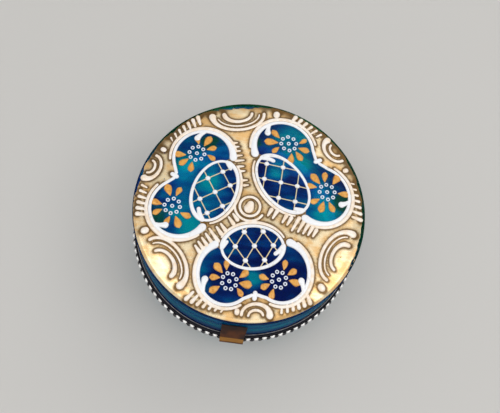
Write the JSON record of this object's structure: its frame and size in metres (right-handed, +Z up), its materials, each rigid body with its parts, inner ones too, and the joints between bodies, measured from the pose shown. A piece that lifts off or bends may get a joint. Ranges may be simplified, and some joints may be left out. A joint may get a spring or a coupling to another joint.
{
  "type": "enamelled glass trinket box",
  "caption": "Round hinged trinket box of blue glass with a domed, gilded and enamelled lid, beaded brass mounts and a thumb strap.",
  "frame": {"origin": "centre of the flat underside of the base", "axes": "+Z up through the middle of the lid, +Y towards the hinge, -Y towards the thumb strap"},
  "size_m": [0.0798, 0.0841, 0.0455],
  "materials": {
    "blue_glass": "transparent blue-green, polished",
    "enamelled_glass": "transparent blue-green glass, its top gilded and enamelled in white and orange",
    "brass": "bright on the beads, blackened between them",
    "aged_brass": "aged to a dark red brown"
  },
  "bodies": {
    "base": {"base_glass": "blue_glass", "base_mount": "brass", "base_hinge_leaf": "brass", "hinge_pin": "brass"},
    "lid": {"lid_glass": "enamelled_glass", "lid_mount": "brass", "lid_hinge_leaf": "brass", "thumb_strap": "aged_brass"}
  },
  "joints": [
    {"name": "lid_hinge", "type": "hinge", "parent": "base", "child": "lid", "pos_m": [0, 0.04159, 0.019], "axis": [-1, 0, 0], "range_deg": [0, 100]}
  ]
}
